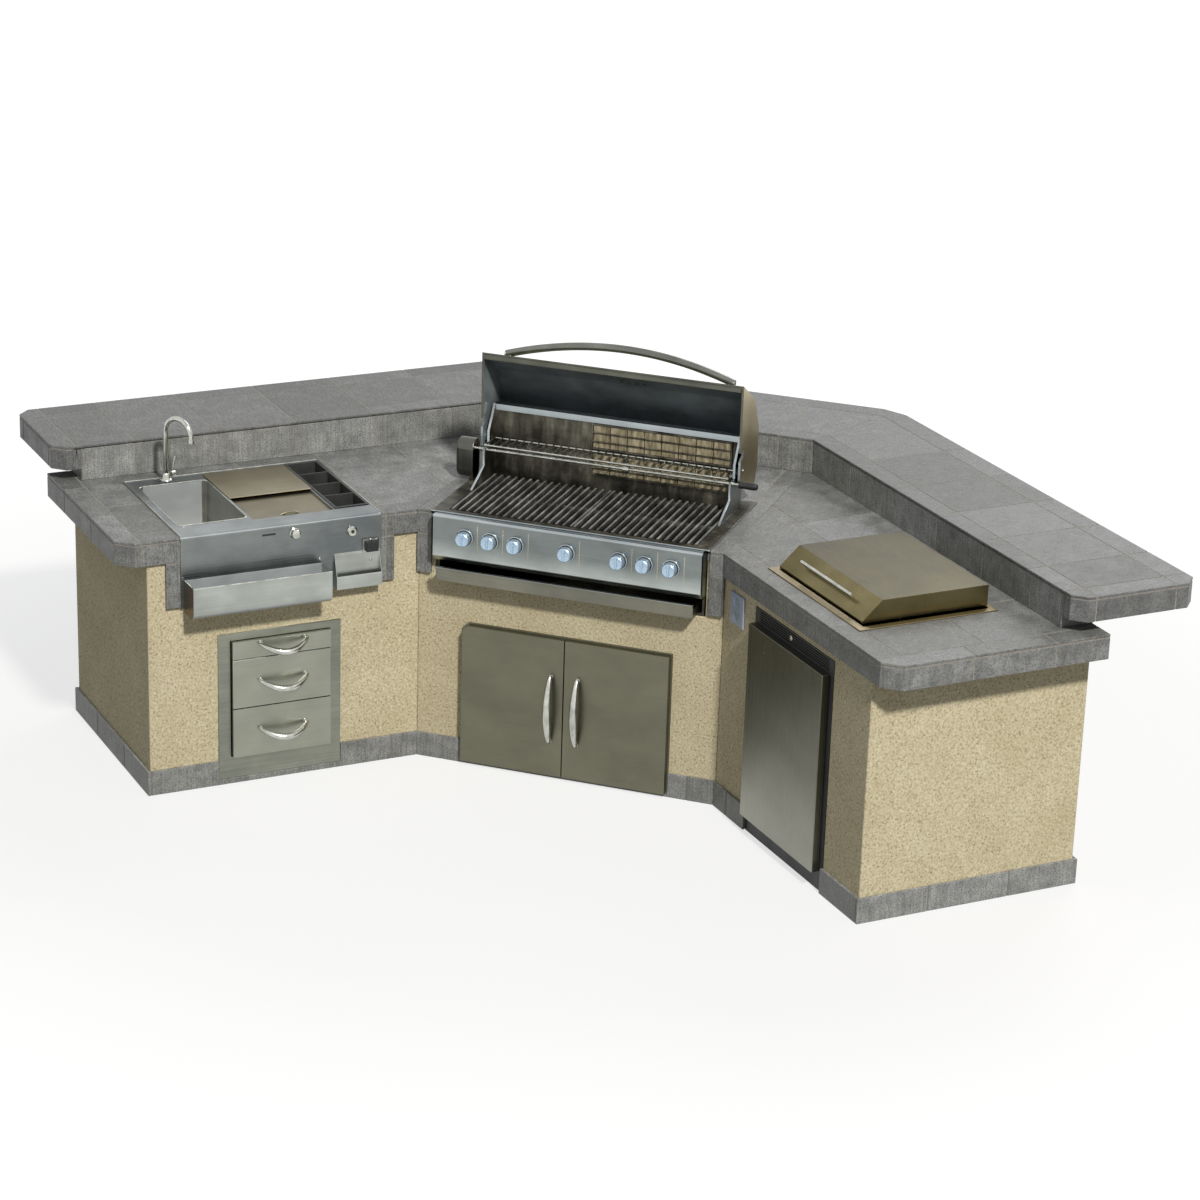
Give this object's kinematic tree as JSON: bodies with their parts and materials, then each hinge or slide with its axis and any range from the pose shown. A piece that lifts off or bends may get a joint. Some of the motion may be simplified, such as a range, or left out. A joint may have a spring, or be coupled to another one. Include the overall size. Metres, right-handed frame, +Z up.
{
  "type": "outdoor kitchen island",
  "caption": "Three-wing stucco and tile outdoor kitchen island with raised bar, built-in grill, sink and ice bin, drawers, access doors, fridge and side burner.",
  "frame": {"origin": "on the floor, under the centre of the middle wing's base", "axes": "+X along the middle wing to its right end, +Y back towards the bar, +Z up"},
  "size_m": [4.1703, 2.1287, 1.4322],
  "materials": {
    "stucco": "rough sand-cast stucco",
    "stone_tile": "honed grey stone tile",
    "stainless": "brushed stainless steel",
    "dark_steel": "dark satin steel",
    "cast_iron": "seasoned cast iron",
    "knob_metal": "satin with a blue cast",
    "black_plastic": "matt black",
    "white_plastic": "white gloss"
  },
  "bodies": {
    "island": {"left_base": "stucco", "middle_base": "stucco", "right_base": "stucco", "plinth_tiles": "stone_tile", "left_counter": "stone_tile", "middle_counter": "stone_tile", "right_counter": "stone_tile", "left_riser_tiles": "stone_tile", "middle_riser_tiles": "stone_tile", "right_riser_tiles": "stone_tile", "left_bar_top": "stone_tile", "middle_bar_top": "stone_tile", "right_bar_top": "stone_tile", "grill_housing": "stainless", "control_panel": "stainless", "warming_rack": "stainless", "access_door_frame": "stainless", "drawer_frame": "stainless", "beverage_deck": "stainless", "bottle_rail": "stainless", "fridge_shelf": "stainless", "side_burner_pan": "stainless", "flame_tamers": "dark_steel", "burner_assembly": "dark_steel", "rotisserie_motor": "dark_steel", "opener_and_catcher": "dark_steel", "left_cooking_grate": "cast_iron", "right_cooking_grate": "cast_iron", "side_burner_grate": "cast_iron", "side_burner_head": "cast_iron", "fridge_case": "black_plastic", "outlet_plate": "white_plastic"},
    "hood": {"grill_hood": "stainless", "hood_handle": "stainless"},
    "spit": {"spit_rod": "stainless"},
    "grease_tray": {"grease_tray": "stainless"},
    "left_door": {"left_access_door": "stainless", "left_door_handle": "stainless"},
    "right_door": {"right_access_door": "stainless", "right_door_handle": "stainless"},
    "lower_drawer": {"lower_drawer": "stainless", "lower_drawer_handle": "stainless"},
    "middle_drawer": {"middle_drawer": "stainless", "middle_drawer_handle": "stainless"},
    "upper_drawer": {"upper_drawer": "stainless", "upper_drawer_handle": "stainless"},
    "front_ice_lid": {"front_ice_lid": "stainless"},
    "rear_ice_lid": {"rear_ice_lid": "stainless"},
    "condiment_caddy": {"condiment_caddy": "black_plastic"},
    "faucet_spout": {"faucet_spout": "stainless"},
    "faucet_lever": {"faucet_lever": "stainless"},
    "fridge_door": {"fridge_door": "dark_steel"},
    "side_burner_lid": {"side_burner_lid": "stainless"},
    "burner_knob_1": {"burner_knob_1": "knob_metal"},
    "burner_knob_2": {"burner_knob_2": "knob_metal"},
    "burner_knob_3": {"burner_knob_3": "knob_metal"},
    "burner_knob_4": {"burner_knob_4": "knob_metal"},
    "burner_knob_5": {"burner_knob_5": "knob_metal"},
    "burner_knob_6": {"burner_knob_6": "knob_metal"},
    "burner_knob_7": {"burner_knob_7": "knob_metal"}
  },
  "joints": [
    {"name": "hood_lift", "type": "hinge", "parent": "island", "child": "hood", "pos_m": [0, -0.114, 1.064], "axis": [1, 0, 0], "range_deg": [0, 110]},
    {"name": "spit_turn", "type": "hinge", "parent": "island", "child": "spit", "pos_m": [0, -0.166, 1.03], "axis": [1, 0, 0], "continuous": true},
    {"name": "grease_tray_slide", "type": "slide", "parent": "island", "child": "grease_tray", "axis": [0, -1, 0], "range_m": [0, 0.35]},
    {"name": "left_door_swing", "type": "hinge", "parent": "island", "child": "left_door", "pos_m": [-0.373, -0.5503, 0.266], "axis": [0, 0, -1], "range_deg": [0, 110]},
    {"name": "right_door_swing", "type": "hinge", "parent": "island", "child": "right_door", "pos_m": [0.373, -0.5503, 0.266], "axis": [0, 0, 1], "range_deg": [0, 110]},
    {"name": "lower_drawer_slide", "type": "slide", "parent": "island", "child": "lower_drawer", "axis": [0.7071, -0.7071, 0], "range_m": [0, 0.35]},
    {"name": "middle_drawer_slide", "type": "slide", "parent": "island", "child": "middle_drawer", "axis": [0.7071, -0.7071, 0], "range_m": [0, 0.35]},
    {"name": "upper_drawer_slide", "type": "slide", "parent": "island", "child": "upper_drawer", "axis": [0.7071, -0.7071, 0], "range_m": [0, 0.35]},
    {"name": "front_ice_lid_slide", "type": "slide", "parent": "island", "child": "front_ice_lid", "axis": [-0.7071, 0.7071, 0], "range_m": [0, 0.18]},
    {"name": "rear_ice_lid_hinge", "type": "hinge", "parent": "island", "child": "rear_ice_lid", "pos_m": [-1.25746, -0.42677, 0.9186], "axis": [-0.7071, -0.7071, 0], "range_deg": [0, 90]},
    {"name": "condiment_caddy_lift", "type": "slide", "parent": "island", "child": "condiment_caddy", "axis": [0, 0, 1], "range_m": [0, 0.15]},
    {"name": "spout_swivel", "type": "hinge", "parent": "island", "child": "faucet_spout", "pos_m": [-1.44873, -0.6435, 0.9383], "axis": [0, 0, 1], "range_deg": [-80, 80]},
    {"name": "lever_tilt", "type": "hinge", "parent": "faucet_spout", "child": "faucet_lever", "pos_m": [-1.43938, -0.6129, 0.9386], "axis": [0.2924, 0.9563, 0], "range_deg": [-30, 45]},
    {"name": "fridge_door_swing", "type": "hinge", "parent": "island", "child": "fridge_door", "pos_m": [1.04476, -1.05596, 0.407], "axis": [0, 0, 1], "range_deg": [0, 110]},
    {"name": "side_lid_hinge", "type": "hinge", "parent": "island", "child": "side_burner_lid", "pos_m": [1.28327, -0.47662, 0.9186], "axis": [-0.7071, 0.7071, 0], "range_deg": [0, 90]},
    {"name": "knob_1_turn", "type": "hinge", "parent": "island", "child": "burner_knob_1", "pos_m": [-0.36397, -0.584, 0.846], "axis": [0, -1, 0], "range_deg": [0, 135]},
    {"name": "knob_2_turn", "type": "hinge", "parent": "island", "child": "burner_knob_2", "pos_m": [-0.27201, -0.584, 0.846], "axis": [0, -1, 0], "range_deg": [0, 135]},
    {"name": "knob_3_turn", "type": "hinge", "parent": "island", "child": "burner_knob_3", "pos_m": [-0.18005, -0.584, 0.846], "axis": [0, -1, 0], "range_deg": [0, 135]},
    {"name": "knob_4_turn", "type": "hinge", "parent": "island", "child": "burner_knob_4", "pos_m": [0.00387, -0.584, 0.846], "axis": [0, -1, 0], "range_deg": [0, 135]},
    {"name": "knob_5_turn", "type": "hinge", "parent": "island", "child": "burner_knob_5", "pos_m": [0.18997, -0.584, 0.846], "axis": [0, -1, 0], "range_deg": [0, 135]},
    {"name": "knob_6_turn", "type": "hinge", "parent": "island", "child": "burner_knob_6", "pos_m": [0.28096, -0.584, 0.846], "axis": [0, -1, 0], "range_deg": [0, 135]},
    {"name": "knob_7_turn", "type": "hinge", "parent": "island", "child": "burner_knob_7", "pos_m": [0.3751, -0.584, 0.846], "axis": [0, -1, 0], "range_deg": [0, 135]}
  ]
}
